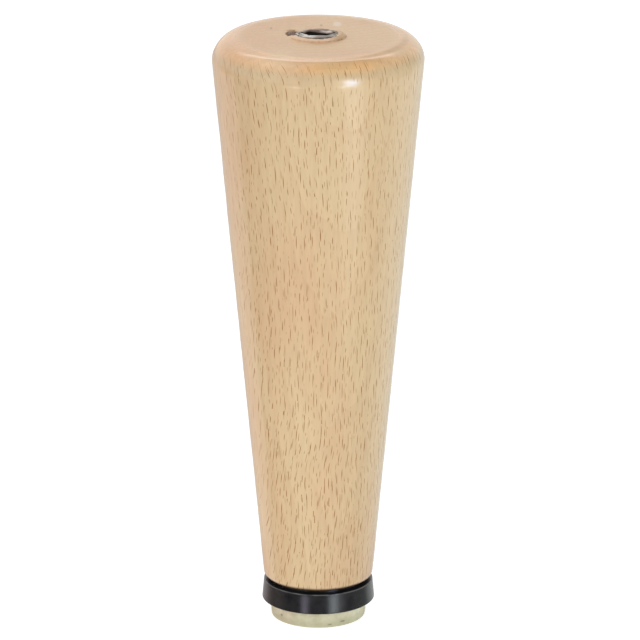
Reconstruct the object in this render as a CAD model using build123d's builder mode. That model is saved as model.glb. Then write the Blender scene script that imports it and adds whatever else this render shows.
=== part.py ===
"""Turned wooden furniture leg with a threaded insert in its top and a felt glide under its foot.

Millimetres, +Z up along the leg's axis. The origin is the centre of the felt's underside, where the leg stands.
"""

import math
import os

from build123d import *

# Wooden body. The top diameter is where the taper would meet the top face, before the shoulder is rounded.
wood_length = 150.0
top_diameter = 57.0
foot_diameter = 29.0
shoulder_radius = 6.0
foot_edge_radius = 2.0

# Screw-in nut: a die-cast body with a hexagon socket, a fine thread inside and a coarse wood thread outside.
thread_size = 8.0
thread_pitch = 1.25
insert_length = 16.0
insert_core_diameter = 10.0
collar_diameter = 11.9
collar_seat_depth = 0.7
collar_chamfer_height = 0.4
insert_proud = 1.0
insert_lead_chamfer = 0.8
socket_across_flats = 8.0
socket_depth = 5.0
socket_floor_cone = 0.7
ridge_pitch = 4.0
ridge_depth = 1.0
ridge_root_width = 1.5
ridge_tip_width = 0.3
ridge_sunk = 0.25
ridge_above_tip = 2.0
ridge_below_collar = 2.3

# Mouth of the insert's hole, with the ring of wood that the collar raised as it was driven in.
lip_width = 1.6
lip_height = 0.6
lip_crest_width = 0.3
insert_clearance = 0.05
bore_beyond_insert = 3.0
drill_point_angle = 118.0

# Black moulded glide. Its side leans in a little towards the wood, and its upper edge stands a little below
# the seat that the wood rests on, which leaves a narrow dark gap under the foot's rounding.
glide_rim_wall = 2.65
glide_floor_thickness = 3.0
glide_side_lean = 0.5
glide_seat_diameter = 24.8
glide_edge_drop = 0.55
glide_rim_rounding = 0.3
felt_recess_depth = 3.0

# Nail that holds the glide, its head let into the floor of the felt's recess.
nail_diameter = 2.5
nail_length = 20.0
nail_point_length = 3.5
nail_head_diameter = 8.0
nail_head_height = 1.0
nail_clearance = 0.05
head_seat_clearance = 0.2

# Felt pad, glued into the recess and standing out below the glide.
felt_diameter = 24.7
felt_drop = 4.75
felt_clearance = 0.1
felt_glue_gap = 0.05
felt_edge_rounding = 0.4

# Heights of the faces where the pieces meet.
recess_floor = felt_drop + felt_recess_depth
foot_height = recess_floor + glide_floor_thickness
top_height = foot_height + wood_length
insert_top = top_height + insert_proud
insert_tip = insert_top - insert_length
collar_underside = top_height - collar_seat_depth

# Radii that more than one piece uses.
core_radius = insert_core_diameter / 2
collar_radius = collar_diameter / 2
sharp_thread_height = thread_pitch * math.sqrt(3) / 2
tap_radius = thread_size / 2 - sharp_thread_height * 5 / 8
nail_radius = nail_diameter / 2
nail_hole_radius = nail_radius + nail_clearance
felt_radius = felt_diameter / 2


def drill_point(radius):
    """Height of the cone that a twist drill of this radius leaves at the bottom of its hole."""
    return radius / math.tan(math.radians(drill_point_angle / 2))


def coarse_ridge(growth):
    """The insert's helical wood thread, grown all round by growth."""
    root = ridge_root_width / 2 + growth
    tip = ridge_tip_width / 2 + growth
    start = insert_tip + ridge_above_tip
    with BuildPart() as ridge:
        with BuildLine() as path:
            Helix(
                pitch=ridge_pitch,
                height=collar_underside - ridge_below_collar - start,
                radius=core_radius,
                center=(0, 0, start),
            )
        with BuildSketch(Plane(origin=path.line @ 0, x_dir=(1, 0, 0), z_dir=path.line % 0)):
            Polygon(
                (-ridge_sunk, -root),
                (ridge_depth + growth, -tip),
                (ridge_depth + growth, tip),
                (-ridge_sunk, root),
                align=None,
            )
        sweep(is_frenet=True)
    return ridge.part


insert_ridge = coarse_ridge(0.0)
ridge_groove = coarse_ridge(insert_clearance)

# Wooden body: a straight taper turned from one piece, bored from both ends.
mouth_radius = collar_radius + insert_clearance
lip_foot_radius = mouth_radius + lip_width
bore_radius = core_radius + insert_clearance
bore_bottom = insert_tip - bore_beyond_insert
lip_top = top_height + lip_height
nail_tip = recess_floor + nail_length
nail_hole_end = nail_tip + nail_clearance

with BuildPart() as leg_body:
    with BuildSketch(Plane.XZ) as turned_outline:
        with BuildLine():
            Polyline(
                (0, foot_height),
                (foot_diameter / 2, foot_height),
                (top_diameter / 2, top_height),
                (0, top_height),
                close=True,
            )
        make_face()
        fillet(turned_outline.vertices().sort_by_distance((top_diameter / 2, top_height))[0], shoulder_radius)
        fillet(turned_outline.vertices().sort_by_distance((foot_diameter / 2, foot_height))[0], foot_edge_radius)
    revolve(axis=Axis.Z)
    with BuildSketch(Plane.XZ):
        with BuildLine():
            Polyline(
                (0, top_height - lip_height),
                (lip_foot_radius, top_height - lip_height),
                (lip_foot_radius, top_height),
                (mouth_radius + lip_crest_width, lip_top),
                (0, lip_top),
                close=True,
            )
        make_face()
    revolve(axis=Axis.Z)
    with BuildSketch(Plane.XZ):
        with BuildLine():
            Polyline(
                (0, lip_top + lip_height),
                (mouth_radius, lip_top + lip_height),
                (mouth_radius, collar_underside),
                (bore_radius, collar_underside),
                (bore_radius, bore_bottom),
                (0, bore_bottom - drill_point(bore_radius)),
                close=True,
            )
        make_face()
    revolve(axis=Axis.Z, mode=Mode.SUBTRACT)
    add(ridge_groove, mode=Mode.SUBTRACT)
    with BuildSketch(Plane.XZ):
        with BuildLine():
            Polyline(
                (0, foot_height),
                (nail_hole_radius, foot_height),
                (nail_hole_radius, nail_hole_end - nail_point_length),
                (0, nail_hole_end),
                close=True,
            )
        make_face()
    revolve(axis=Axis.Z, mode=Mode.SUBTRACT)
leg_body.part.label = "leg_body"

# Screw-in nut, coaxial with the leg, its collar seated in the mouth.
with BuildPart() as threaded_insert:
    with BuildSketch(Plane.XZ):
        with BuildLine():
            Polyline(
                (0, insert_tip),
                (core_radius - insert_lead_chamfer, insert_tip),
                (core_radius, insert_tip + insert_lead_chamfer),
                (core_radius, collar_underside),
                (collar_radius, collar_underside),
                (collar_radius, insert_top - collar_chamfer_height),
                (socket_across_flats / 2, insert_top),
                (0, insert_top),
                close=True,
            )
        make_face()
    revolve(axis=Axis.Z)
    add(insert_ridge)
    with BuildSketch(Plane.XY.offset(insert_top)):
        RegularPolygon(socket_across_flats / 2, 6, major_radius=False)
    extrude(amount=-socket_depth, mode=Mode.SUBTRACT)
    with BuildSketch(Plane.XZ):
        with BuildLine():
            Polyline(
                (0, insert_tip),
                (tap_radius, insert_tip),
                (tap_radius, insert_top - socket_depth - socket_floor_cone),
                (tap_radius + socket_floor_cone, insert_top - socket_depth),
                (0, insert_top - socket_depth),
                close=True,
            )
        make_face()
    revolve(axis=Axis.Z, mode=Mode.SUBTRACT)
threaded_insert.part.label = "threaded_insert"

# Moulded glide: a shallow cup, open downwards for the felt, with the nail's hole and head seat in its floor.
recess_radius = felt_radius + felt_clearance
glide_bottom_radius = recess_radius + glide_rim_wall
glide_top_radius = glide_bottom_radius - glide_side_lean
head_seat_radius = nail_head_diameter / 2 + head_seat_clearance
head_seat_floor = recess_floor + nail_head_height
glide_seat_radius = glide_seat_diameter / 2
glide_edge_height = foot_height - glide_edge_drop

with BuildPart() as glide_base:
    with BuildSketch(Plane.XZ) as glide_outline:
        with BuildLine():
            Polyline(
                (nail_hole_radius, foot_height),
                (glide_seat_radius, foot_height),
                (glide_seat_radius, glide_edge_height),
                (glide_top_radius, glide_edge_height),
                (glide_bottom_radius, felt_drop),
                (recess_radius, felt_drop),
                (recess_radius, recess_floor),
                (head_seat_radius, recess_floor),
                (head_seat_radius, head_seat_floor),
                (nail_hole_radius, head_seat_floor),
                close=True,
            )
        make_face()
        for rim in ((glide_top_radius, glide_edge_height), (glide_bottom_radius, felt_drop)):
            fillet(glide_outline.vertices().sort_by_distance(rim)[0], glide_rim_rounding)
    revolve(axis=Axis.Z)
glide_base.part.label = "glide_base"

# Nail: flat head in its seat, plain shank, pointed end in the wood.
with BuildPart() as glide_nail:
    with BuildSketch(Plane.XZ):
        with BuildLine():
            Polyline(
                (0, recess_floor),
                (nail_head_diameter / 2, recess_floor),
                (nail_head_diameter / 2, head_seat_floor),
                (nail_radius, head_seat_floor),
                (nail_radius, nail_tip - nail_point_length),
                (0, nail_tip),
                close=True,
            )
        make_face()
    revolve(axis=Axis.Z)
glide_nail.part.label = "glide_nail"

# Felt pad: a thick punched disc.
with BuildPart() as felt_pad:
    with BuildSketch():
        Circle(felt_radius)
    extrude(amount=recess_floor - felt_glue_gap)
    fillet(felt_pad.edges().group_by(Axis.Z)[0], felt_edge_rounding)
felt_pad.part.label = "felt_pad"

os.makedirs("parts", exist_ok=True)
for piece in (leg_body, threaded_insert, glide_base, glide_nail, felt_pad):
    export_step(piece.part, f"parts/{piece.part.label}.step")
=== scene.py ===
"""Turned beech furniture leg, with a screw-in nut in its top and a felt glide under its foot."""

import math

import bmesh
import bpy
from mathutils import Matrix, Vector


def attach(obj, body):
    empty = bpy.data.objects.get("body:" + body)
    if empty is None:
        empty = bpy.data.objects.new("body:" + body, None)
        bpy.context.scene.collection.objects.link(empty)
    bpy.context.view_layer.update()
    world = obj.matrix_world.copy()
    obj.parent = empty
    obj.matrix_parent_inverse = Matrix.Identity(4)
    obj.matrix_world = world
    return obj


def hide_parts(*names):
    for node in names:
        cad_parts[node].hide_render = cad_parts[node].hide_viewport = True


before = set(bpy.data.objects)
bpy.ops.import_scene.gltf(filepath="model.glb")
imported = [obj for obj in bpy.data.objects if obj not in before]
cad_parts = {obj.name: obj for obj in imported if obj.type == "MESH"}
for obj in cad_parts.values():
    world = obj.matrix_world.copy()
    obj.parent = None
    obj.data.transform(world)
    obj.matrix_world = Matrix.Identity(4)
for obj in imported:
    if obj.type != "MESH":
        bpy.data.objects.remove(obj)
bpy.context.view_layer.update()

# Camera. It looks down on the leg from the front, from far enough away that the leg's sides
# stay almost straight up and down in the picture. The aim is a little to the right of the leg's axis.
camera_distance = 1.6
camera_elevation = math.radians(17.83)
camera_aim = Vector((0.00047, 0.0, 0.08274))
camera_lens = 338.4


def placed(name, data):
    """A new object in the scene."""
    new = bpy.data.objects.new(name, data)
    bpy.context.scene.collection.objects.link(new)
    return new


camera_data = bpy.data.cameras.new("camera")
camera_data.lens = camera_lens
camera_data.sensor_width = 36.0
camera_data.sensor_fit = "HORIZONTAL"
camera_data.clip_start = 0.05
camera = placed("camera", camera_data)
camera_way = Vector((0, -math.cos(camera_elevation), math.sin(camera_elevation)))
camera.location = camera_aim + camera_distance * camera_way
camera.rotation_euler = (math.pi / 2 - camera_elevation, 0, 0)
bpy.context.scene.camera = camera

# Leg. One piece of beech, turned to a straight taper with its shoulder sanded round, bored from both
# ends and lacquered. The screw-in nut raised a rough ring of wood round its mouth and tore it on one side.
MM = 0.001
segments = 192
arc_step = math.radians(4)

foot_height = 10.75
top_height = 160.75
foot_radius = 14.5
top_radius = 28.5
shoulder_rounding = 5.78
land_radius = 20.9
land_slope = math.radians(10)
land_edge_rounding = 1.0
foot_rounding = 2.0
nail_hole_radius = 1.3
nail_hole_shoulder = 24.3
nail_hole_tip = 27.8
lip_foot_radius = 6.7
lip_crest_radius = 6.35
mouth_radius = 6.0
lip_height = 0.6
lip_rounding = 0.12
mouth_rounding = 0.1
flat_inner_radius = 9.5
collar_seat = 160.05
bore_radius = 5.05
bore_bottom = 142.75
bore_tip = 139.72

coarse_pitch = 4.0
coarse_start = 147.75
coarse_end = 157.75
groove_depth = 1.0
groove_root = 1.6
groove_tip = 0.4


def pick(sockets, key):
    """The socket of that number, or the one in use that has that name."""
    if isinstance(key, int):
        return sockets[key]
    return next(s for s in sockets if s.enabled and s.name == key)


def add(tree, kind, inputs=None, **settings):
    """A new node with its settings, each input joined to a socket or given a value."""
    new = tree.nodes.new(kind)
    for name, value in settings.items():
        setattr(new, name, value)
    for key, value in (inputs or {}).items():
        if isinstance(value, bpy.types.NodeSocket):
            tree.links.new(value, pick(new.inputs, key))
        else:
            pick(new.inputs, key).default_value = value
    return new


def sums(tree, operation, *values):
    return add(tree, "ShaderNodeMath", dict(enumerate(values)), operation=operation).outputs[0]


def plus(tree, first, second):
    return sums(tree, "ADD", first, second)


def minus(tree, first, second):
    return sums(tree, "SUBTRACT", first, second)


def times(tree, *values):
    """The values multiplied together, from left to right."""
    product = values[0]
    for value in values[1:]:
        product = sums(tree, "MULTIPLY", product, value)
    return product


def arrows(tree, operation, *values):
    made = add(tree, "ShaderNodeVectorMath", dict(enumerate(values)), operation=operation)
    return next(s for s in made.outputs if s.enabled)


def scaled(tree, arrow, factors):
    """An arrow or a colour with each part multiplied by its own factor."""
    return arrows(tree, "MULTIPLY", arrow, factors)


def parts(tree, arrow):
    """The x, y and z of an arrow."""
    return add(tree, "ShaderNodeSeparateXYZ", {0: arrow}).outputs


def arrow_from(tree, x, y, z):
    return add(tree, "ShaderNodeCombineXYZ", {0: x, 1: y, 2: z}).outputs[0]


def in_millimetres(tree, place):
    return scaled(tree, place, (1 / MM,) * 3)


def ramp(tree, value, low, high, to_low=0.0, to_high=1.0):
    """A smooth rise from to_low to to_high as value goes from low to high."""
    made = add(tree, "ShaderNodeMapRange", interpolation_type="SMOOTHSTEP")
    for key, given in enumerate((value, low, high, to_low, to_high)):
        if isinstance(given, bpy.types.NodeSocket):
            tree.links.new(given, made.inputs[key])
        else:
            made.inputs[key].default_value = given
    return made.outputs[0]


def cloud(tree, place, scale, detail, output=0):
    """Noise from 0 to 1 at each place, whose spots are 1 / scale across."""
    return add(tree, "ShaderNodeTexNoise", {
        "Vector": place, "Scale": scale, "Detail": detail, "Roughness": 0.5,
    }).outputs[output]


def blend(tree, share, first, second):
    """A colour between first and second."""
    return pick(add(tree, "ShaderNodeMix", {"Factor": share, "A": first, "B": second}, data_type="RGBA").outputs,
                "Result")


def group(name, kind, inputs, outputs):
    """A node group with inputs given as (name, type, value) and outputs as (name, type)."""
    tree = bpy.data.node_groups.new(name, kind)
    for label, socket, value in inputs:
        made = tree.interface.new_socket(label, in_out="INPUT", socket_type="NodeSocket" + socket)
        if value is not None:
            made.default_value = value
    for label, socket in outputs:
        tree.interface.new_socket(label, in_out="OUTPUT", socket_type="NodeSocket" + socket)
    return tree, tree.nodes.new("NodeGroupInput").outputs, tree.nodes.new("NodeGroupOutput").inputs


def modify(piece, tree, **values):
    """Gives the piece a Geometry Nodes modifier, with its inputs set by their identifiers."""
    modifier = piece.modifiers.new(tree.name, "NODES")
    modifier.node_group = tree
    for item in tree.interface.items_tree:
        if item.in_out == "INPUT" and item.name.replace(" ", "_").lower() in values:
            modifier[item.identifier] = values[item.name.replace(" ", "_").lower()]


def section(corners, closed=False):
    """Points along a turned section, with the marks that each carries.

    Each corner is (radius, height, rounding, longest step of the run after it) and, where it carries any,
    its marks by name.
    """
    corners = [(*corner, {})[:5] for corner in corners]
    places = [Vector(c[:2]) for c in corners]
    arcs = []
    for i, corner in enumerate(corners):
        rounding = corner[2]
        if not rounding:
            arcs.append([places[i]])
            continue
        before = (places[i - 1] - places[i]).normalized()
        after = (places[(i + 1) % len(corners)] - places[i]).normalized()
        half = before.angle(after) / 2
        turn = math.pi - 2 * half
        centre = places[i] + (before + after).normalized() * rounding / math.sin(half)
        start = places[i] + before * rounding / math.tan(half) - centre
        end = places[i] + after * rounding / math.tan(half) - centre
        steps = max(3, round(turn / arc_step))
        arcs.append([
            centre + (start * math.sin(turn * (1 - k / steps)) + end * math.sin(turn * k / steps)) / math.sin(turn)
            for k in range(steps + 1)
        ])
    points = []
    for i, corner in enumerate(corners):
        points += [(place, corner[4]) for place in arcs[i]]
        if i == len(corners) - 1 and not closed:
            break
        following = corners[(i + 1) % len(corners)]
        start = arcs[i][-1]
        end = arcs[(i + 1) % len(corners)][0]
        pieces = max(1, math.ceil((end - start).length / corner[3]))
        for k in range(1, pieces):
            share = k / pieces
            marks = {
                name: corner[4].get(name, 0.0) * (1 - share) + following[4].get(name, 0.0) * share
                for name in {**corner[4], **following[4]}
            }
            points.append((start.lerp(end, share), marks))
    if closed:
        points.append(points[0])
    return points


def position(tree):
    return add(tree, "GeometryNodeInputPosition").outputs[0]


def carried(tree, name):
    """The mark of that name that each point carries."""
    return add(tree, "GeometryNodeInputNamedAttribute", {"Name": name}, data_type="FLOAT").outputs["Attribute"]


def marked(tree, surface, name, value):
    """The surface with a mark of that name on its points."""
    return add(tree, "GeometryNodeStoreNamedAttribute", {
        "Geometry": surface, "Name": name, "Value": value,
    }, data_type="FLOAT").outputs[0]


def give_out(tree, surface, given, made):
    """Ends a tree of geometry: its instances made real, its finish set."""
    surface = add(tree, "GeometryNodeRealizeInstances", {"Geometry": surface}).outputs[0]
    surface = add(tree, "GeometryNodeSetMaterial", {"Geometry": surface, "Material": given["Finish"]}).outputs[0]
    tree.links.new(surface, made["Piece"])


mark_names = ("coarse", "fine", "hexagon")

turning, given, made = group("turning", "GeometryNodeTree", [
    ("Section", "Geometry", None),
    ("Segments", "Int", segments),
    ("Finish", "Material", None),
], [("Piece", "Geometry")])
rows = pick(add(turning, "GeometryNodeAttributeDomainSize", {"Geometry": given["Section"]}).outputs, "Point Count")
columns = plus(turning, given["Segments"], 1)
sheet = add(turning, "GeometryNodeMeshGrid", {
    "Size X": 1.0, "Size Y": 1.0, "Vertices X": columns, "Vertices Y": rows,
})
cell = parts(turning, position(turning))
turn = times(turning, plus(turning, cell[0], 0.5), math.tau)
row = times(turning, plus(turning, cell[1], 0.5), minus(turning, rows, 1))
row = sums(turning, "ROUND", row)
surface = sheet.outputs["Mesh"]
for name in mark_names:
    taken = add(turning, "GeometryNodeSampleIndex", {
        "Geometry": given["Section"], "Value": carried(turning, name), "Index": row,
    }, data_type="FLOAT").outputs[0]
    surface = marked(turning, surface, name, taken)
traced = parts(turning, add(turning, "GeometryNodeSampleIndex", {
    "Geometry": given["Section"], "Value": position(turning), "Index": row,
}, data_type="FLOAT_VECTOR").outputs[0])
swung = arrow_from(
    turning,
    times(turning, traced[0], sums(turning, "COSINE", turn)),
    times(turning, traced[0], sums(turning, "SINE", turn)),
    traced[2],
)
surface = add(turning, "GeometryNodeSetPosition", {"Geometry": surface, "Position": swung}).outputs[0]
surface = add(turning, "GeometryNodeMergeByDistance", {"Geometry": surface, "Distance": 1e-6}).outputs[0]
give_out(turning, surface, given, made)


def polar(tree):
    """Each point's distance from the axis, its angle round it and its height."""
    x, y, z = parts(tree, position(tree))
    radius = sums(tree, "SQRT", plus(tree, times(tree, x, x), times(tree, y, y)))
    return radius, sums(tree, "ARCTAN2", y, x), z


def push(tree, surface, angle, outwards, upwards):
    """Moves each point of the surface away from the axis and up."""
    across = times(tree, outwards, sums(tree, "COSINE", angle))
    back = times(tree, outwards, sums(tree, "SINE", angle))
    offset = arrow_from(tree, across, back, upwards)
    return add(tree, "GeometryNodeSetPosition", {"Geometry": surface, "Offset": offset}).outputs[0]


screw, given, made = group("screw thread", "GeometryNodeTree", [
    ("Piece", "Geometry", None),
    ("Mark", "String", "coarse"),
    ("Pitch", "Float", 4.0),
    ("Depth", "Float", 1.0),
    ("Root", "Float", 1.5),
    ("Tip", "Float", 0.3),
    ("Start", "Float", 0.0),
    ("End", "Float", 1.0),
    ("Finish", "Material", None),
], [("Piece", "Geometry")])
angle, height = polar(screw)[1:]
height = sums(screw, "DIVIDE", height, MM)
climb = sums(screw, "DIVIDE", minus(screw, height, given["Start"]), given["Pitch"])
phase = sums(screw, "FRACT", minus(screw, climb, sums(screw, "DIVIDE", angle, math.tau)))
away = times(screw, given["Pitch"], sums(screw, "MINIMUM", phase, minus(screw, 1.0, phase)))
flank = times(screw, 0.5, minus(screw, given["Root"], given["Tip"]))
rise = sums(screw, "DIVIDE", minus(screw, times(screw, 0.5, given["Root"]), away), flank)
rise = sums(screw, "MINIMUM", sums(screw, "MAXIMUM", rise, 0.0), 1.0)
runout = times(screw, 0.2, given["Pitch"])
window = times(
    screw,
    ramp(screw, height, given["Start"], plus(screw, given["Start"], runout)),
    ramp(screw, height, minus(screw, given["End"], runout), given["End"], 1.0, 0.0),
)
rise = times(screw, rise, window, times(screw, given["Depth"], carried(screw, given["Mark"])))
give_out(screw, push(screw, given["Piece"], angle, times(screw, rise, MM), 0.0), given, made)


lump_scale = 900.0
splinter_scale = 2600.0
wave_scale = 140.0
near_radius = 9.0

lip, given, made = group("crushed mouth", "GeometryNodeTree", [
    ("Piece", "Geometry", None),
    ("Inner", "Float", 6.6),
    ("Outer", "Float", 7.0),
    ("Rise", "Float", 0.1),
    ("Front Rise", "Float", 0.3),
    ("Roughness", "Float", 0.1),
    ("Widening", "Float", 0.7),
    ("Burr", "Float", 0.7),
    ("Burr Angle", "Float", 0.0),
    ("Tear Place", "Vector", (-7.0, 3.4, 0.0)),
    ("Tear Size", "Vector", (1.3, 2.4, 1.0)),
    ("Tear Depth", "Float", 0.5),
    ("Waves", "Float", 0.08),
    ("Back Lift", "Float", 0.3),
    ("Finish", "Material", None),
], [("Piece", "Geometry")])
radius, angle, height = polar(lip)
radius = sums(lip, "DIVIDE", radius, MM)
above = minus(lip, sums(lip, "DIVIDE", height, MM), top_height)
high = sums(lip, "GREATER_THAN", above, -0.35)
here = position(lip)
lumps = minus(lip, cloud(lip, here, lump_scale, 3.0), 0.5)
splinters = minus(lip, cloud(lip, here, splinter_scale, 2.0), 0.5)
within = times(lip, high, ramp(lip, radius, given["Outer"], given["Inner"]))
near = times(lip, high, ramp(lip, radius, near_radius, given["Outer"]))
crest = times(lip, near, ramp(lip, above, 0.2, 0.3))
past_mouth = sums(lip, "GREATER_THAN", radius, minus(lip, given["Inner"], 0.1))
up_to_flat = ramp(lip, radius, plus(lip, given["Outer"], 0.15), plus(lip, given["Outer"], -0.1))
foot = times(lip, ramp(lip, above, 0.36, 0.24), ramp(lip, above, 0.03, 0.08), up_to_flat)
foot = times(lip, foot, times(lip, high, past_mouth))
off = arrows(lip, "SUBTRACT", in_millimetres(lip, here), given["Tear Place"])
off = scaled(lip, arrows(lip, "DIVIDE", off, given["Tear Size"]), (1.0, 1.0, 0.0))
ragged = plus(lip, arrows(lip, "LENGTH", off), times(lip, lumps, 1.6))
torn = times(lip, high, ramp(lip, ragged, 1.3, 1.1))
flattened = times(lip, within, ramp(lip, ragged, 2.4, 1.4))
surface = given["Piece"]
for name, value in (("torn", torn), ("raised", crest), ("foot", foot), ("mouth", near)):
    surface = marked(lip, surface, name, value)
rough = times(lip, given["Roughness"], plus(lip, times(lip, lumps, 3.0), splinters))
lean = times(lip, given["Front Rise"], times(lip, sums(lip, "SINE", angle), -1.0))
standing = minus(lip, within, times(lip, flattened, 0.8))
up = times(lip, plus(lip, plus(lip, given["Rise"], lean), rough), standing)
down = times(lip, torn, given["Tear Depth"], plus(lip, 1.0, times(lip, splinters, 2.5)))
down = plus(lip, down, times(lip, flattened, lip_height))
up = minus(lip, up, down)
behind = times(
    lip,
    ramp(lip, sums(lip, "SINE", angle), 0.1, 0.6),
    ramp(lip, radius, 20.8, 22.5),
    ramp(lip, above, -6.0, -0.5),
)
up = plus(lip, up, times(lip, behind, given["Back Lift"]))
wave = minus(lip, cloud(lip, here, wave_scale, 2.0), 0.5)
wave = times(lip, wave, given["Waves"], sums(lip, "GREATER_THAN", radius, 12.0))
sideways = sums(lip, "COSINE", angle)
wider = times(lip, sideways, sideways, given["Widening"])
wider = times(lip, wider, times(lip, near, ramp(lip, radius, 6.02, given["Inner"])))
burr = ramp(lip, sums(lip, "COSINE", minus(lip, angle, given["Burr Angle"])), 0.6, 0.95)
burr = times(lip, burr, within, times(lip, given["Burr"], ramp(lip, above, 0.2, 0.5)))
up = plus(lip, up, times(lip, burr, 0.3))
outwards = minus(lip, plus(lip, wave, wider), burr)
give_out(lip, push(lip, surface, angle, times(lip, outwards, MM), times(lip, up, MM)), given, made)


def outline(name, points):
    """An object whose mesh is the section's points in the XZ plane, in metres, with their marks."""
    mesh = bpy.data.meshes.new(name)
    mesh.from_pydata(
        [(place.x * MM, 0.0, place.y * MM) for place, marks in points],
        [(i, i + 1) for i in range(len(points) - 1)],
        [],
    )
    for label in mark_names:
        layer = mesh.attributes.new(label, "FLOAT", "POINT")
        layer.data.foreach_set("value", [marks.get(label, 0.0) for place, marks in points])
    return placed(name, mesh)


def settle(piece, finish, sharp_angle=35.0):
    """Turns the piece's modifiers into its own plain mesh, closed, smooth and facing outwards."""
    graph = bpy.context.evaluated_depsgraph_get()
    shaped = piece.evaluated_get(graph)
    mesh = bpy.data.meshes.new_from_object(shaped, preserve_all_data_layers=True, depsgraph=graph)
    piece.modifiers.clear()
    piece.data = mesh
    work = bmesh.new()
    work.from_mesh(mesh)
    bmesh.ops.remove_doubles(work, verts=work.verts, dist=1e-7)
    bmesh.ops.recalc_face_normals(work, faces=work.faces)
    work.to_mesh(mesh)
    work.free()
    mesh.materials.clear()
    mesh.materials.append(finish)
    mesh.polygons.foreach_set("material_index", [0] * len(mesh.polygons))
    mesh.shade_smooth()
    mesh.set_sharp_from_angle(angle=math.radians(sharp_angle))


grain_middle = 75.0
grain_reach = 70.0
grain_bow = 35.0
arc_radius = 100.0
ray_row_depth = 13.0

beech, given, made = group("beech", "ShaderNodeTree", [
    ("Place", "Vector", None),
    ("Facing", "Vector", None),
    ("Cut Across", "Float", 0.0),
    ("Pith Side", "Float", -18.0),
    ("Pith Depth", "Float", 75.0),
    ("Ring Width", "Float", 2.6),
    ("Ring Wander", "Float", 1.2),
    ("Ring Strength", "Float", 0.18),
    ("Ray Spacing", "Float", 2.0),
    ("Ray Pitch", "Float", 4.7),
    ("Ray Width", "Float", 0.13),
    ("Ray Strength", "Float", 1.45),
    ("Lean", "Float", 0.12),
    ("Pale", "Color", (0.725, 0.55, 0.332, 1)),
    ("Warm", "Color", (0.705, 0.495, 0.296, 1)),
    ("Late Wood", "Color", (0.56, 0.34, 0.19, 1)),
    ("Ray", "Color", (0.29, 0.085, 0.0, 1)),
    ("Shoulder", "Color", (1.31, 1.12, 1.0, 1)),
    ("End Grain", "Color", (1.22, 1.155, 1.19, 1)),
], [("Colour", "Color"), ("Rays", "Float"), ("Height", "Float")])
place = in_millimetres(beech, given["Place"])
x, y, z = parts(beech, place)
level = sums(beech, "DIVIDE", minus(beech, z, grain_middle), grain_reach)
lean_share = ramp(beech, x, -16.0, 14.0, 1.0, 0.15)
bow = times(beech, level, level, times(beech, lean_share, grain_bow), given["Lean"])
drift = cloud(beech, scaled(beech, place, (0.07, 0.07, 0.045)), 1.0, 1.0, output="Color")
drift = scaled(beech, arrows(beech, "SUBTRACT", drift, (0.5, 0.5, 0.5)), (3.0, 3.0, 0.0))
across = arrow_from(beech, plus(beech, x, bow), y, 0.0)
pith = arrow_from(beech, given["Pith Side"], given["Pith Depth"], 0.0)
outwards = arrows(beech, "SUBTRACT", arrows(beech, "ADD", across, drift), pith)
from_pith = arrows(beech, "LENGTH", outwards)
out_x, out_y = parts(beech, outwards)[:2]
arc = times(beech, arc_radius, sums(beech, "ARCTAN2", out_x, times(beech, out_y, -1.0)))
flat_cut = arrows(beech, "DOT_PRODUCT", given["Facing"], arrows(beech, "NORMALIZE", outwards))
flat_cut = sums(beech, "ABSOLUTE", flat_cut)
facing_up = sums(beech, "MAXIMUM", parts(beech, given["Facing"])[2], given["Cut Across"])


def ray_layer(spacing, pitch, width, shortest, longest, seed):
    """Ray cells cut across: one thin dark lens in each cell of a grid round the pith."""
    cells = arrow_from(
        beech,
        plus(beech, sums(beech, "DIVIDE", arc, spacing), seed),
        sums(beech, "DIVIDE", from_pith, ray_row_depth),
        sums(beech, "DIVIDE", z, pitch),
    )
    found = add(beech, "ShaderNodeTexVoronoi", {"Vector": cells, "Scale": 1.0, "Randomness": 0.9})
    apart = arrows(beech, "SUBTRACT", found.outputs["Position"], cells)
    apart = parts(beech, apart)
    side = sums(beech, "ABSOLUTE", times(beech, apart[0], spacing))
    rise = times(beech, apart[2], pitch)
    chance = parts(beech, found.outputs["Color"])
    reach = plus(beech, shortest, times(beech, chance[0], longest - shortest))
    reach = times(beech, reach, ramp(beech, z, 20.0, 130.0, 1.25, 0.97))
    along = sums(beech, "DIVIDE", rise, reach)
    swell = minus(beech, 1.0, times(beech, along, along))
    wide = times(beech, times(beech, width, 0.5), sums(beech, "MAXIMUM", swell, 0.0))
    shade = ramp(beech, minus(beech, wide, side), -0.03, 0.03)
    shade = times(beech, shade, sums(beech, "GREATER_THAN", swell, 0.0))
    return times(beech, shade, plus(beech, 0.35, times(beech, chance[1], 0.65)))


bold = ray_layer(given["Ray Spacing"], given["Ray Pitch"], given["Ray Width"], 0.7, 2.4, 0.0)
fine_spacing = times(beech, given["Ray Spacing"], 0.7)
fine_pitch = times(beech, given["Ray Pitch"], 0.75)
fine_width = times(beech, given["Ray Width"], 0.7)
fine = ray_layer(fine_spacing, fine_pitch, fine_width, 0.4, 1.5, 41.0)
rays = sums(beech, "MAXIMUM", bold, times(beech, fine, 0.75))
rays = times(
    beech, rays,
    ramp(beech, flat_cut, 0.2, 0.75, 0.1, 1.0),
    ramp(beech, facing_up, 0.9, 0.995, 1.0, 0.12),
    given["Ray Strength"],
    ramp(beech, z, 60.0, 140.0, 1.15, 0.88),
)

wander = cloud(beech, scaled(beech, place, (0.045, 0.045, 0.018)), 1.0, 2.0)
wander = times(beech, minus(beech, wander, 0.5), times(beech, given["Ring Wander"], 2.0))
season = sums(beech, "FRACT", sums(beech, "DIVIDE", plus(beech, from_pith, wander), given["Ring Width"]))
late = times(beech, sums(beech, "POWER", season, 4.0), ramp(beech, season, 0.97, 1.0, 1.0, 0.0))
late = times(beech, late, given["Ring Strength"])

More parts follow.
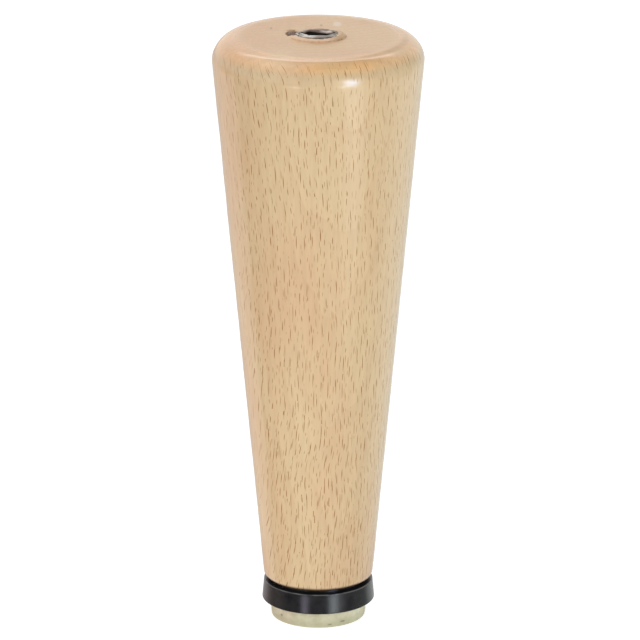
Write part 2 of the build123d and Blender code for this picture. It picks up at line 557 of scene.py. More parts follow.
patch = cloud(beech, scaled(beech, place, (0.06, 0.06, 0.02)), 1.0, 3.0)
patch = plus(beech, patch, times(beech, x, -0.005))
colour = blend(beech, ramp(beech, patch, 0.40, 0.70), given["Pale"], given["Warm"])
streak = cloud(beech, scaled(beech, place, (1.3, 1.3, 0.06)), 1.0, 3.0)
tone = ramp(beech, streak, 0.3, 0.7, 0.965, 1.035)
colour = scaled(beech, colour, arrow_from(beech, tone, tone, tone))
colour = blend(beech, late, colour, given["Late Wood"])
colour = blend(beech, rays, colour, given["Ray"])
blotch = ramp(beech, cloud(beech, place, 0.16, 2.0), 0.4, 0.6)
# The slanted shoulder gets a paler tint, partly its cross-cut grain and partly painted light; the end grain on top
# gets its own tone.
oblique = times(beech, ramp(beech, facing_up, 0.35, 0.8), plus(beech, 0.75, times(beech, blotch, 0.25)))
oblique = blend(beech, oblique, (1, 1, 1, 1), given["Shoulder"])
oblique = blend(beech, ramp(beech, facing_up, 0.982, 0.999), oblique, given["End Grain"])
beech.links.new(scaled(beech, colour, oblique), made["Colour"])
beech.links.new(rays, made["Rays"])
fibre = cloud(beech, scaled(beech, place, (3.0, 3.0, 0.15)), 1.0, 2.0)
beech.links.new(minus(beech, times(beech, fibre, 0.3), rays), made["Height"])


def material(name):
    """A new material, with its tree and its principled shader."""
    new = bpy.data.materials.new(name)
    new.use_nodes = True
    return new, new.node_tree, new.node_tree.nodes["Principled BSDF"]


def place_on(tree):
    """The places and the facing that a material can read."""
    return add(tree, "ShaderNodeTexCoord").outputs


def joined(tree, shader, **sources):
    """Joins sources to a shader's inputs, named with _ for each space."""
    for name, source in sources.items():
        tree.links.new(source, shader.inputs[name.replace("_", " ")])


def plain(shader, **values):
    """Sets values that are the same all over on a shader's own inputs."""
    for name, value in values.items():
        shader.inputs[name.replace("_", " ")].default_value = value


def from_axis(tree, here):
    """How far a place is from the leg's axis."""
    return arrows(tree, "LENGTH", scaled(tree, here, (1, 1, 0)))


def towards(tree, here, bearing):
    """1 that many degrees to the right of the front, and less further round."""
    bearing = math.radians(bearing)
    return arrows(tree, "DOT_PRODUCT", arrows(tree, "NORMALIZE", scaled(tree, here, (1, 1, 0))),
                  (math.sin(bearing), -math.cos(bearing), 0.0))


def tinted(tree, share, colour, tint):
    """A colour that is multiplied by a tint as far as share goes."""
    return blend(tree, share, colour, scaled(tree, colour, tint))


def smudged(tree, here, colour, share, smudge, *marks):
    """A colour with soft marks on it, each given by its centre and its size in millimetres."""
    for centre, size in marks:
        off = arrows(tree, "DIVIDE", arrows(tree, "SUBTRACT", here, centre), size)
        mark = ramp(tree, arrows(tree, "LENGTH", off), 1.0, 0.4)
        colour = blend(tree, times(tree, mark, share), colour, smudge)
    return colour


warmer_front_bearing = 16
painted_shade_bearing = 40
satin = 0.16
matt = 0.5

lacquered, tree, shader = material("lacquered beech")
ground = place_on(tree)
wood = add(tree, "ShaderNodeGroup", node_tree=beech)
raised, torn, foot, mouth = (
    add(tree, "ShaderNodeAttribute", attribute_name=name).outputs["Fac"]
    for name in ("raised", "torn", "foot", "mouth")
)
joined(tree, wood, Place=ground["Object"], Facing=ground["Normal"], Cut_Across=mouth)
here = in_millimetres(tree, ground["Object"])
side, depth, height = parts(tree, here)
away = from_axis(tree, here)

# The ring of crushed wood, its foot and its torn notch, each with painted shade as well as its own colour.
# Crushed wood, painted darker on the right of the ring as painted shade.
crushed_and_shaded = blend(tree, ramp(tree, side, 2.5, 6.0), (0.95, 0.72, 0.54, 1), (0.76, 0.50, 0.28, 1))
colour = blend(tree, times(tree, raised, 0.85), wood.outputs["Colour"], crushed_and_shaded)
# The foot of the ring: bruised fibres in dark dots, and painted shade that grows towards the right.
bruise_and_shade = blend(tree, ramp(tree, side, 3.0, 6.0), (0.64, 0.38, 0.25, 1), (0.45, 0.26, 0.16, 1))
dots = ramp(tree, cloud(tree, here, 1.6, 2.0), 0.4, 0.6, 0.3, 1.0)
foot = times(tree, foot, times(tree, dots, ramp(tree, side, -7.0, 3.0, 0.45, 1.0)))
colour = blend(tree, foot, colour, bruise_and_shade)
# The torn notch: splintered wood, painted very dark as painted shade in the hollow.
fibres = cloud(tree, scaled(tree, here, (4.0, 2.0, 4.0)), 1.0, 2.0)
splinters_and_shade = blend(tree, ramp(tree, fibres, 0.4, 0.62), (0.13, 0.065, 0.04, 1), (0.40, 0.24, 0.16, 1))
colour = blend(tree, torn, colour, splinters_and_shade)

# A painted highlight as a pale mark, and three dark marks, on the flat top.
colour = smudged(tree, here, colour, 0.8, (0.98, 0.80, 0.66, 1), ((5.0, 12.6, top_height), (1.5, 3.2, 1.0)))
colour = smudged(
    tree, here, colour, 0.35, (0.30, 0.18, 0.12, 1),
    ((0.8, 11.3, top_height), (0.5, 1.8, 1.0)),
    ((12.2, 20.0, top_height), (1.6, 1.0, 1.0)),
    ((-12.4, 8.3, top_height), (0.5, 1.6, 1.0)),
)

# Painted shade on the foot where it meets the glide, the front of the shoulder tinted warmer, painted shade on the
# right of the ring round the flat top and painted shade on the sides low on the leg. The flat top has lost its
# gloss.
# Painted shade: the foot darkened where it meets the glide.
colour = blend(tree, ramp(tree, height, foot_height + 1.5, foot_height + 0.5), colour, (0.09, 0.05, 0.03, 1))
# The front of the shoulder tinted warmer near the top.
warmer_front = times(
    tree,
    ramp(tree, towards(tree, here, warmer_front_bearing), 0.86, 0.985),
    ramp(tree, height, top_height - 0.1, top_height - 0.45),
    ramp(tree, height, top_height - 4.5, top_height - 1.5),
)
colour = tinted(tree, warmer_front, colour, (1.02, 1.0, 0.89))
# Painted shade: the right of the ring round the flat top made darker and browner.
painted_shade_right = times(
    tree,
    ramp(tree, towards(tree, here, painted_shade_bearing), 0.3, 0.9),
    ramp(tree, height, top_height - 0.12, top_height - 0.28),
    ramp(tree, height, top_height - 0.75, top_height - 0.4),
)
colour = tinted(tree, painted_shade_right, colour, (0.82, 0.75, 0.62))
# Painted shade: the left and right sides low on the leg darkened.
slant = sums(tree, "ABSOLUTE", sums(tree, "DIVIDE", side, away))
painted_side_shade = times(tree, ramp(tree, slant, 0.8, 0.98), ramp(tree, height, 30.0, 12.0))
colour = tinted(tree, painted_side_shade, colour, (0.88, 0.74, 0.66))
bare = times(
    tree,
    ramp(tree, height, top_height - 0.9, top_height - 0.1),
    ramp(tree, away, land_radius + 3.0, land_radius - 2.5),
)
relief = add(tree, "ShaderNodeBump", {"Strength": 0.1, "Distance": 0.05 * MM, "Height": wood.outputs["Height"]})
gloss = ramp(tree, bare, 0.0, 1.0, satin, matt)
joined(tree, shader, Base_Color=colour, Roughness=gloss, Normal=relief.outputs[0])
plain(shader, IOR=1.5)

side_slope = (top_radius - foot_radius) / (top_height - foot_height)
corner_drop = (top_radius - land_radius) * math.tan(land_slope) / (1 - side_slope * math.tan(land_slope))
corner_height = top_height - corner_drop
corner_radius = top_radius - corner_drop * side_slope
leg_points = section([
    (0.0, nail_hole_tip, 0, 3),
    (nail_hole_radius, nail_hole_shoulder, 0, 3),
    (nail_hole_radius, foot_height, 0, 3),
    (foot_radius, foot_height, foot_rounding, 3),
    (corner_radius, corner_height, shoulder_rounding, 0.6),
    (land_radius, top_height, land_edge_rounding, 1.2),
    (flat_inner_radius, top_height, 0, 0.16),
    (lip_foot_radius, top_height, lip_rounding, 0.1),
    (lip_crest_radius, top_height + lip_height, lip_rounding, 0.1),
    (mouth_radius, top_height + lip_height, mouth_rounding, 0.2),
    (mouth_radius, collar_seat, 0, 0.5),
    (bore_radius, collar_seat, 0, 0.3, {"coarse": 1.0}),
    (bore_radius, bore_bottom, 0, 2, {"coarse": 1.0}),
    (0.0, bore_tip, 0, 2),
])
turned_leg = outline("turned_leg", leg_points)
modify(turned_leg, turning, segments=segments, finish=lacquered)
modify(turned_leg, screw, mark="coarse", pitch=coarse_pitch, depth=groove_depth, root=groove_root, tip=groove_tip,
       start=coarse_start, end=coarse_end, finish=lacquered)
modify(turned_leg, lip, inner=lip_crest_radius, outer=lip_foot_radius, rise=0.15, front_rise=0.25,
       roughness=0.2, widening=0.8, burr=0.8, burr_angle=math.radians(-14), tear_place=(-6.9, 3.6, 0.0),
       tear_size=(1.3, 2.3, 1.0), tear_depth=0.4, waves=0.28, back_lift=0.2, finish=lacquered)
settle(turned_leg, lacquered)
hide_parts("leg_body")
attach(turned_leg, "root")

# Screw-in nut. A die-cast zinc body with a hexagon socket for the key, an M8 thread inside and a coarse
# wood thread outside, driven into the bored top until its collar seats. It sits a little askew, and the
# key has dented the back right of its rim. Angles round it are in radians from the right.
insert_top = 161.75
insert_tip = 145.75
core_radius = 5.0
collar_radius = 5.95
collar_shoulder = 161.35
socket_apothem = 4.0
socket_floor = 156.75
lead_in = 0.05
lead_in_depth = 1.1
socket_cone = 0.7
tap_radius = 3.323
lead_chamfer = 0.8
coarse_depth = 1.0
coarse_root = 1.5
coarse_tip = 0.3
fine_pitch_length = 1.25
fine_depth = 0.677
fine_root = 1.1
fine_tip = 0.15
fine_start = 146.05
fine_end = 155.95
lean_angle = math.radians(5)
lean_hinge = 2.5
tilt_start = 160.1
tilt_end = 161.0
dent_start = 0.3
dent_full_start = 0.75
dent_full_end = 1.22
dent_end = 1.66

socket, given, made = group("key socket", "GeometryNodeTree", [
    ("Piece", "Geometry", None),
    ("Corner Limit", "Float", 1.13),
    ("Tilt", "Float", 0.07),
    ("Hinge", "Float", 0.0),
    ("Dent", "Float", 0.4),
    ("Finish", "Material", None),
], [("Piece", "Geometry")])
radius, angle, height = polar(socket)
sixth = math.pi / 3
within = minus(socket, sums(socket, "FLOORED_MODULO", angle, sixth), sixth / 2)
spread = sums(socket, "MINIMUM", sums(socket, "DIVIDE", 1.0, sums(socket, "COSINE", within)), given["Corner Limit"])
mark = carried(socket, "hexagon")
spread = times(socket, minus(socket, spread, 1.0), mark)
depth = parts(socket, position(socket))[1]
shown = ramp(socket, height, tilt_start * MM, tilt_end * MM)
lift = times(socket, minus(socket, given["Hinge"], depth), shown, given["Tilt"])
struck = times(
    socket,
    ramp(socket, angle, dent_end, dent_full_end),
    ramp(socket, angle, dent_start, dent_full_start),
    ramp(socket, height, (insert_top - 1.0) * MM, (insert_top - 0.15) * MM),
    mark,
    times(socket, given["Dent"], MM),
)
spread = plus(socket, times(socket, spread, radius), struck)
give_out(socket, push(socket, given["Piece"], angle, spread, lift), given, made)

mottle, given, made = group("mottle", "ShaderNodeTree", [
    ("Place", "Vector", None),
    ("Coarse Size", "Float", 1.5),
    ("Fine Size", "Float", 0.2),
    ("First", "Color", (0.5, 0.5, 0.5, 1)),
    ("Second", "Color", (0.7, 0.7, 0.7, 1)),
    ("Smoothest", "Float", 0.3),
    ("Roughest", "Float", 0.5),
], [("Colour", "Color"), ("Roughness", "Float"), ("Height", "Float")])
place = in_millimetres(mottle, given["Place"])
broad = cloud(mottle, place, sums(mottle, "DIVIDE", 1.0, given["Coarse Size"]), 3.0)
close = cloud(mottle, place, sums(mottle, "DIVIDE", 1.0, given["Fine Size"]), 3.0)
share = ramp(mottle, broad, 0.35, 0.65)
mottle.links.new(blend(mottle, share, given["First"], given["Second"]), made["Colour"])
spread = minus(mottle, given["Roughest"], given["Smoothest"])
mottle.links.new(plus(mottle, given["Smoothest"], times(mottle, spread, broad)), made["Roughness"])
relief = plus(mottle, times(mottle, broad, 0.6), times(mottle, close, 0.4))
mottle.links.new(relief, made["Height"])


def mottled(name, bump, metallic=0.0, **values):
    """A material whose colour, gloss and relief vary by the mottle group, and that colour."""
    new, tree, shader = material(name)
    spots = add(tree, "ShaderNodeGroup", node_tree=mottle)
    joined(tree, spots, Place=place_on(tree)["Object"])
    for key, value in values.items():
        spots.inputs[key.replace("_", " ").title()].default_value = value
    relief = add(tree, "ShaderNodeBump", {
        "Strength": 1.0, "Distance": bump * MM, "Height": spots.outputs["Height"],
    })
    joined(tree, shader, Base_Color=spots.outputs["Colour"], Roughness=spots.outputs["Roughness"],
           Normal=relief.outputs[0])
    plain(shader, Metallic=metallic)
    return new, tree, shader, spots.outputs["Colour"]


cast_zinc, tree, shader, cast = mottled(
    "cast zinc", 0.05, 1.0, coarse_size=0.8, fine_size=0.15,
    first=(0.36, 0.335, 0.305, 1), second=(0.48, 0.455, 0.42, 1), smoothest=0.35, roughest=0.5,
)
here = in_millimetres(tree, place_on(tree)["Object"])
side, depth, height = parts(tree, here)
away = from_axis(tree, here)

# The rim's front painted darker as painted shade, the grime at its left, and the socket's wall inside it painted
# pale as painted light.
# Painted shade: the front of the rim darkened.
painted_front_shade = times(tree, ramp(tree, side, -2.2, 0.3), ramp(tree, side, 5.0, 2.8), ramp(tree, depth, 0.0, -3.0))
cast = blend(tree, painted_front_shade, cast, (0.18, 0.16, 0.135, 1))
grime = times(tree, ramp(tree, cloud(tree, here, 1.5, 2.0), 0.42, 0.56), ramp(tree, side, -3.6, -4.4))
cast = blend(tree, grime, cast, (0.07, 0.055, 0.045, 1))
# Painted light: the socket's wall near the rim painted pale brown, with little metal shine.
inside = times(tree, ramp(tree, away, 4.95, 4.85), ramp(tree, height, insert_top - 0.1, insert_top - 0.25))
cast = blend(tree, inside, cast, (0.74, 0.58, 0.47, 1))
right_end = times(tree, ramp(tree, side, 3.0, 4.2), ramp(tree, depth, -4.2, -2.4))
cast = blend(tree, right_end, cast, (0.13, 0.11, 0.08, 1))
cast = blend(tree, times(tree, ramp(tree, depth, 1.6, 3.2), 0.7), cast, (0.34, 0.235, 0.205, 1))

# A painted glint on the edge of the dent, and painted shade that makes the socket black below it.
drop = minus(tree, minus(tree, insert_top - 0.15, height), times(tree, side, 0.13))
past_dent = sums(tree, "MAXIMUM", minus(tree, side, 2.3), 0.0)
drop = plus(tree, drop, times(tree, past_dent, 0.6))
from_edge = sums(tree, "ABSOLUTE", minus(tree, drop, 0.45))
glint = times(tree, ramp(tree, side, 0.0, 1.6), ramp(tree, side, 4.3, 2.6), ramp(tree, from_edge, 0.32, 0.1))
# Painted glint: a near-white spot on the edge of the dent.
cast = blend(tree, times(tree, glint, inside), cast, (1.0, 0.88, 0.82, 1))
# Painted shade: the socket turns black below the rim.
cast = blend(tree, ramp(tree, drop, 0.75, 0.95), cast, (0.02, 0.016, 0.013, 1))
joined(tree, shader, Base_Color=cast, Metallic=ramp(tree, inside, 0.0, 1.0, 1.0, 0.2))

insert_points = section([
    (tap_radius, insert_tip, 0.15, 0.2, {"fine": 1.0}),
    (tap_radius, socket_floor - socket_cone, 0, 0.3, {"fine": 1.0}),
    (tap_radius + socket_cone * 0.9, socket_floor, 0, 0.4),
    (socket_apothem, socket_floor, 0, 0.5, {"hexagon": 1.0}),
    (socket_apothem, insert_top - lead_in_depth - 0.1, 0.06, 0.1, {"hexagon": 1.0}),
    (socket_apothem + lead_in, insert_top - lead_in_depth, 0, 0.25, {"hexagon": 1.0}),
    (socket_apothem + lead_in, insert_top - 0.05, 0.18, 0.25, {"hexagon": 1.0}),
    (collar_radius, collar_shoulder, 0.15, 0.3),
    (collar_radius, collar_seat, 0.1, 0.4),
    (core_radius, collar_seat, 0, 0.25, {"coarse": 1.0}),
    (core_radius, insert_tip + lead_chamfer, 0, 0.5, {"coarse": 1.0}),
    (core_radius - lead_chamfer, insert_tip, 0.1, 0.5),
], closed=True)
screw_in_nut = outline("screw_in_nut", insert_points)
modify(screw_in_nut, turning, segments=segments, finish=cast_zinc)
modify(screw_in_nut, socket, tilt=math.tan(lean_angle), hinge=lean_hinge * MM, finish=cast_zinc)
modify(screw_in_nut, screw, mark="coarse", pitch=coarse_pitch, depth=coarse_depth, root=coarse_root, tip=coarse_tip,
       start=coarse_start, end=coarse_end, finish=cast_zinc)
modify(screw_in_nut, screw, mark="fine", pitch=fine_pitch_length, depth=fine_depth, root=fine_root, tip=fine_tip,
       start=fine_start, end=fine_end, finish=cast_zinc)
settle(screw_in_nut, cast_zinc)
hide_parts("threaded_insert")
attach(screw_in_nut, "root")

# Glide. A shallow cup of black plastic, injection moulded with a semi-gloss side, open downwards for the
# felt. It is held by the nail and stands out a little all round the wood.
glide_top_radius = 14.6
glide_bottom_radius = 15.1
glide_seat_radius = 12.4
glide_edge = 10.2
glide_bottom = 4.75
recess_radius = 12.45
recess_floor = 7.75
head_seat_radius = 4.2
head_seat_floor = 8.75

moulded_black, tree, shader, black = mottled(
    "moulded black", 0.002, 0.0, coarse_size=2.5, fine_size=0.12,
    first=(0.012, 0.012, 0.014, 1), second=(0.02, 0.02, 0.022, 1), smoothest=0.17, roughest=0.22,
)
plain(shader, IOR=1.45)
here = in_millimetres(tree, place_on(tree)["Object"])
# Painted highlight: a lighter grey along the rounded edge of the rim.
painted_rim_highlight = times(
    tree,
    ramp(tree, parts(tree, here)[2], glide_edge - 0.35, glide_edge - 0.2),
    ramp(tree, from_axis(tree, here), glide_top_radius - 0.3, glide_top_radius - 0.12),
    ramp(tree, cloud(tree, here, 0.25, 3.0), 0.35, 0.6, 0.15, 1.0),
)
joined(tree, shader, Base_Color=blend(tree, painted_rim_highlight, black, (0.11, 0.11, 0.11, 1)))

glide_points = section([
    (nail_hole_radius, foot_height, 0.1, 2),
    (glide_seat_radius, foot_height, 0.1, 1),
    (glide_seat_radius, glide_edge, 0.1, 0.5),
    (glide_top_radius, glide_edge, 0.3, 1),
    (glide_bottom_radius, glide_bottom, 0.3, 1),
    (recess_radius, glide_bottom, 0.15, 1),
    (recess_radius, recess_floor, 0.2, 2),
    (head_seat_radius, recess_floor, 0.1, 1),
    (head_seat_radius, head_seat_floor, 0, 1),
    (nail_hole_radius, head_seat_floor, 0, 1),
], closed=True)
moulded_glide = outline("moulded_glide", glide_points)
modify(moulded_glide, turning, segments=segments, finish=moulded_black)
settle(moulded_glide, moulded_black)
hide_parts("glide_base")
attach(moulded_glide, "root")

# Nail. Plain drawn steel, driven through the glide into the leg before the felt goes in, so that only
# the felt hides it. Its solid is shown as it is.
drawn_steel = mottled(
    "drawn steel", 0.01, 1.0, coarse_size=1.8, fine_size=0.25,
    first=(0.45, 0.45, 0.46, 1), second=(0.62, 0.62, 0.62, 1), smoothest=0.3, roughest=0.45,
)[0]
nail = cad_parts["glide_nail"]
nail.data.materials.clear()
nail.data.materials.append(drawn_steel)

# Felt. A thick disc punched from pressed wool felt and glued into the glide. It is pressed a little wider
# at its foot, its lower edge is slightly worn and uneven, and short fibres stand out from its side.
felt_radius = 12.35
felt_top = 7.7
felt_rounding = 0.12
felt_spread = 0.2
spread_height = 1.2
spread_end = 3.6
felt_lump_scale = 1100.0
felt_wear_scale = 260.0

worn, given, made = group("worn felt", "GeometryNodeTree", [
    ("Piece", "Geometry", None),
    ("Wear", "Float", 0.35),
    ("Lumps", "Float", 0.12),
    ("Fibre Density", "Float", 9.0),
    ("Fibre Length", "Float", 0.45),
    ("Fibre Thickness", "Float", 0.022),
    ("Seed", "Int", 4),
    ("Finish", "Material", None),
], [("Piece", "Geometry")])
radius, angle, height = polar(worn)
radius = sums(worn, "DIVIDE", radius, MM)
height = sums(worn, "DIVIDE", height, MM)
here = position(worn)
outer = ramp(worn, radius, felt_radius - 1.5, felt_radius - 0.3)
low = ramp(worn, height, 2.2, 0.2)
shown = ramp(worn, height, glide_bottom, glide_bottom - 0.6)
broad = cloud(worn, here, felt_wear_scale, 2.0)
close = minus(worn, cloud(worn, here, felt_lump_scale, 2.0), 0.5)
cut = times(worn, outer, low, times(worn, broad, given["Wear"]))
lump = times(worn, close, given["Lumps"], shown)
inwards = minus(worn, times(worn, lump, outer), cut)
lift = times(worn, cut, ramp(worn, height, 1.0, 0.0), 0.8)
body = push(worn, given["Piece"], angle, times(worn, inwards, MM), times(worn, lift, MM))
height_now = parts(worn, position(worn))[2]
off_floor = sums(worn, "GREATER_THAN", height_now, 0.5 * MM)
below_glide = sums(worn, "LESS_THAN", height_now, (glide_bottom - 0.3) * MM)
bare = times(worn, off_floor, below_glide)
per_square_metre = times(worn, given["Fibre Density"], 1 / MM ** 2)
roots = add(worn, "GeometryNodeDistributePointsOnFaces", {
    "Mesh": body, "Selection": bare, "Density": per_square_metre, "Seed": given["Seed"],
})
fibre = add(worn, "GeometryNodeMeshCone", {
    "Vertices": 3, "Side Segments": 1, "Fill Segments": 1,
    "Radius Top": times(worn, given["Fibre Thickness"], 0.3 * MM),
    "Radius Bottom": times(worn, given["Fibre Thickness"], MM),
    "Depth": times(worn, given["Fibre Length"], MM),
}, fill_type="NGON")
spin = add(worn, "FunctionNodeRandomValue", data_type="FLOAT_VECTOR")
spin.inputs[0].default_value = (-1.25, -1.25, -3.0)
spin.inputs[1].default_value = (1.25, 1.25, 3.0)
worn.links.new(given["Seed"], pick(spin.inputs, "Seed"))
spin = add(worn, "FunctionNodeEulerToRotation", {0: spin.outputs[0]}).outputs[0]
turned = add(worn, "FunctionNodeRotateRotation", {0: roots.outputs["Rotation"], 1: spin},
             rotation_space="LOCAL").outputs[0]
nap = add(worn, "GeometryNodeInstanceOnPoints", {
    "Points": roots.outputs["Points"], "Instance": fibre.outputs["Mesh"], "Rotation": turned,
}).outputs[0]
both = add(worn, "GeometryNodeJoinGeometry")
worn.links.new(nap, both.inputs[0])
worn.links.new(body, both.inputs[0])
give_out(worn, both.outputs[0], given, made)

pressed_felt, tree, shader, wool = mottled(
    "pressed felt", 0.08, 0.0, coarse_size=2.2, fine_size=0.16,
    first=(0.68, 0.65, 0.455, 1), second=(0.79, 0.76, 0.57, 1), smoothest=0.9, roughest=1.0,
)
here = in_millimetres(tree, place_on(tree)["Object"])
side, depth, height = parts(tree, here)
# Darker towards the bottom.
darker_towards_bottom = ramp(tree, height, 3.2, 0.6, 0.0, 0.6)
wool = blend(tree, darker_towards_bottom, wool, (0.46, 0.45, 0.28, 1))
# Painted light: brighter and bluer on the right, pinker on the left.
wool = tinted(tree, ramp(tree, side, 5.0, 11.5), wool, (1.2, 1.22, 1.28))
wool = tinted(tree, ramp(tree, side, -4.0, -9.0), wool, (1.03, 0.95, 0.98))
wool = smudged(
    tree, here, wool, 0.55, (0.16, 0.13, 0.08, 1),
    ((-9.75, -7.6, 1.9), (0.5, 0.8, 0.5)),
    ((6.4, -10.6, 1.3), (1.1, 1.0, 0.35)),
    ((3.1, -11.9, 0.9), (0.8, 1.0, 0.3)),
)
joined(tree, shader, Base_Color=wool)
plain(shader, Specular_IOR_Level=0.1, Sheen_Weight=0.3, Sheen_Roughness=0.5)

felt_points = section([
    (0.0, 0.0, 0, 2),
    (felt_radius + felt_spread, 0.0, felt_rounding, 0.3),
    (felt_radius + felt_spread, spread_height, 1.0, 0.3),
    (felt_radius, spread_end, 1.0, 0.6),
    (felt_radius, felt_top, 0.3, 3),
    (0.0, felt_top, 0, 2),
])
felt_disc = outline("felt_disc", felt_points)
modify(felt_disc, turning, segments=segments, finish=pressed_felt)
modify(felt_disc, worn, wear=0.04, lumps=0.12, fibre_density=9.0, fibre_length=0.45, fibre_thickness=0.022, seed=4,
       finish=pressed_felt)
settle(felt_disc, pressed_felt)
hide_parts("felt_pad")
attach(felt_disc, "root")

# Studio. A plain white floor that glows a little, so that it stays white and hardly shows a shadow. The
# walls and ceiling are soft and pale, darker on the right, and a narrow soft box stands at the front right.
floor_radius = 4.0
floor_glow = 0.45
floor_glow_seen = 0.35

floor_white, tree, shader = material("floor white")
plain(shader, Base_Color=(0.5, 0.5, 0.5, 1), Roughness=1.0, Specular_IOR_Level=0.0, Emission_Strength=1.0)
seen = add(tree, "ShaderNodeLightPath").outputs["Is Camera Ray"]
joined(tree, shader, Emission_Color=plus(tree, floor_glow, times(tree, seen, floor_glow_seen)))
work = bmesh.new()
bmesh.ops.create_circle(work, cap_ends=True, segments=96, radius=floor_radius)
floor_mesh = bpy.data.meshes.new("studio_floor")
work.to_mesh(floor_mesh)
work.free()
floor_mesh.materials.append(floor_white)
studio_floor = placed("studio_floor", floor_mesh)
studio_floor.visible_glossy = False

world = bpy.data.worlds.new("studio")
world.use_nodes = True
bpy.context.scene.world = world
tree = world.node_tree
way = parts(tree, place_on(tree)["Generated"])
bearing = sums(tree, "DEGREES", sums(tree, "ARCTAN2", way[0], times(tree, way[1], -1.0)))
rise = sums(tree, "DEGREES", sums(tree, "ARCSINE", way[2]))
aside = sums(tree, "ABSOLUTE", bearing)


def wall(light, share, colour, strength):
    """The light with that colour and strength as far as share goes."""
    return blend(tree, share, light, tuple(part * strength for part in colour) + (1,))


high = wall((0.5, 0.5, 0.5, 1), ramp(tree, bearing, -10.0, -40.0), (1.0, 0.98, 0.95), 1.1)
high = wall(high, ramp(tree, bearing, 20.0, 55.0), (0.97, 1.0, 0.96), 0.4)
high = wall(high, ramp(tree, aside, 125.0, 145.0), (1.0, 0.98, 0.97), 1.1)
high = wall(high, ramp(tree, rise, 45.0, 60.0), (1.0, 1.0, 1.0), 0.5)
above = times(tree, ramp(tree, aside, 145.0, 166.0), ramp(tree, rise, 32.0, 37.0))
high = wall(high, above, (1.0, 0.98, 0.97), 3.5)
above = times(tree, ramp(tree, aside, 60.0, 90.0), ramp(tree, rise, 41.0, 46.0))
high = wall(high, above, (1.0, 1.0, 1.0), 0.4)
low = wall((0.2, 0.2, 0.2, 1), ramp(tree, bearing, -25.0, -45.0), (1.0, 1.0, 1.0), 0.03)
low = wall(low, ramp(tree, bearing, -103.5, -107.5), (1.0, 0.84, 0.84), 0.95)
low = wall(low, ramp(tree, bearing, -135.0, -155.0), (1.0, 0.95, 0.95), 0.65)
low = wall(low, ramp(tree, bearing, 75.0, 115.0), (0.95, 1.0, 0.97), 1.05)
low = wall(low, ramp(tree, bearing, 130.0, 165.0), (0.98, 1.0, 0.99), 0.8)
level = ramp(tree, rise, -20.0, -15.0)
off_right = sums(tree, "ABSOLUTE", minus(tree, bearing, 96.0))
low = wall(low, times(tree, level, ramp(tree, off_right, 32.0, 18.0)), (0.97, 1.0, 0.95), 0.42)
off_left = sums(tree, "ABSOLUTE", plus(tree, bearing, 102.0))
low = wall(low, times(tree, level, ramp(tree, off_left, 38.0, 14.0)), (1.0, 0.80, 0.68), 0.45)
background = tree.nodes["Background"]
joined(tree, background, Color=blend(tree, ramp(tree, rise, -5.0, 3.0), low, high))
plain(background, Strength=1.0)


def seen_at(bearing, rise, distance, height):
    """A place seen from the leg's axis at that height, and the way out to it, with angles in degrees."""
    turn, climb = math.radians(bearing), math.radians(rise)
    away = Vector((math.sin(turn) * math.cos(climb), -math.cos(turn) * math.cos(climb), math.sin(climb)))
    return away * distance + Vector((0, 0, height)), away


def soft_box(name, bearing, distance, width, bottom, top, radiance, colour=(1, 1, 1)):
    """An upright light that shines on the leg, as bright as radiance all over."""
    middle, away = seen_at(bearing, 0.0, distance, (bottom + top) / 2)
    data = bpy.data.lights.new(name, "AREA")
    data.shape = "RECTANGLE"
    data.size = width
    data.size_y = top - bottom
    data.energy = radiance * math.pi * width * (top - bottom)
    data.color = colour
    lamp = placed(name, data)
    lamp.location = middle
    lamp.rotation_euler = away.to_track_quat("Z", "Y").to_euler()
    lamp.visible_camera = False
    lamp.visible_glossy = False


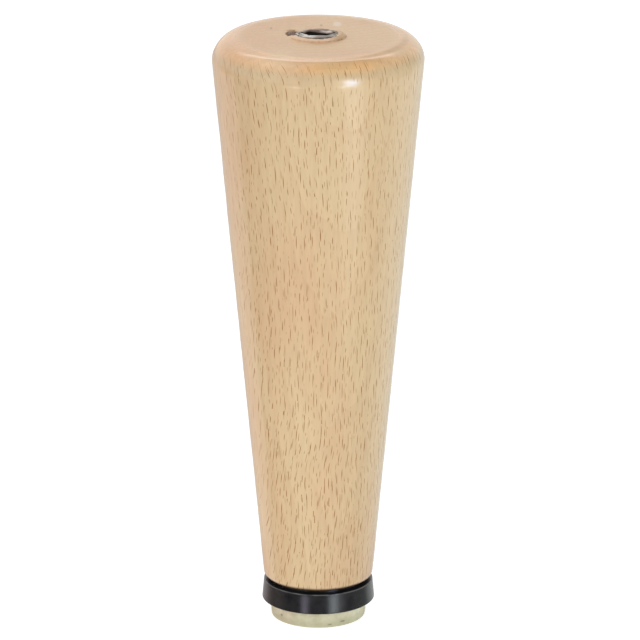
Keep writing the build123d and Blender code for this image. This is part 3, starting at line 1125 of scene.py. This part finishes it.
def card(name, bearing, rise, distance, height, across, tall, radiance, colour=(1, 1, 1), soft_end=0.5):
    """A bright card with soft edges that only shows in reflections, across and tall in degrees."""
    middle, away = seen_at(bearing, rise, distance, height)
    side = away.cross(Vector((0, 0, 1))).normalized()
    up = side.cross(away).normalized() * distance * math.tan(math.radians(tall / 2))
    side = side * distance * math.tan(math.radians(across / 2))
    mesh = bpy.data.meshes.new(name)
    mesh.from_pydata([middle - side - up, middle + side - up, middle + side + up, middle - side + up], [],
                     [(0, 1, 2, 3)])
    layer = mesh.uv_layers.new(name="UVMap")
    for corner, place in enumerate(((0, 0), (1, 0), (1, 1), (0, 1))):
        layer.data[corner].uv = place
    glow, tree, shader = material(name)
    along = parts(tree, place_on(tree)["UV"])
    strength = radiance
    for part, edge in ((along[0], 0.5), (along[1], soft_end)):
        off = sums(tree, "ABSOLUTE", minus(tree, part, 0.5))
        strength = times(tree, strength, ramp(tree, off, 0.5, 0.5 - edge))
    shine = add(tree, "ShaderNodeEmission", {"Color": tuple(colour) + (1,), "Strength": strength})
    clear = add(tree, "ShaderNodeBsdfTransparent")
    both = add(tree, "ShaderNodeAddShader", {0: shine.outputs[0], 1: clear.outputs[0]})
    tree.links.new(both.outputs[0], tree.nodes["Material Output"].inputs["Surface"])
    tree.nodes.remove(shader)
    glow.cycles.emission_sampling = "NONE"
    mesh.materials.append(glow)
    sheet = placed(name, mesh)
    sheet.visible_camera = False
    sheet.visible_diffuse = False
    sheet.visible_shadow = False
    sheet.visible_transmission = False


soft_box("strip", bearing=34.0, distance=0.45, width=0.085, bottom=0.0, top=0.30, radiance=7.7)
soft_box("fill", bearing=-38.0, distance=0.16, width=0.12, bottom=0.0, top=0.05, radiance=1.6,
         colour=(1.0, 0.97, 0.93))
card("highlight", bearing=34.0, rise=0.0, distance=0.45, height=0.15, across=22.0, tall=44.0, radiance=15.8,
     colour=(0.34, 0.58, 1.0), soft_end=0.45)
card("glow", bearing=33.0, rise=4.0, distance=0.45, height=0.15, across=44.0, tall=60.0, radiance=2.6)
card("sheen", bearing=42.0, rise=-18.0, distance=0.45, height=0.10, across=38.0, tall=26.0, radiance=1.6)
card("overhead", bearing=-112.0, rise=64.0, distance=0.45, height=0.158, across=90.0, tall=56.0, radiance=2.3)
card("left_band", bearing=-27.5, rise=-11.0, distance=1.20, height=0.0075, across=25.0, tall=6.0, radiance=7.0,
     colour=(0.88, 0.82, 1.0), soft_end=0.3)
card("right_band", bearing=30.5, rise=-11.0, distance=1.20, height=0.0075, across=31.0, tall=6.0, radiance=9.3,
     colour=(0.88, 0.98, 1.0), soft_end=0.3)
bpy.context.scene.view_settings.view_transform = "Standard"
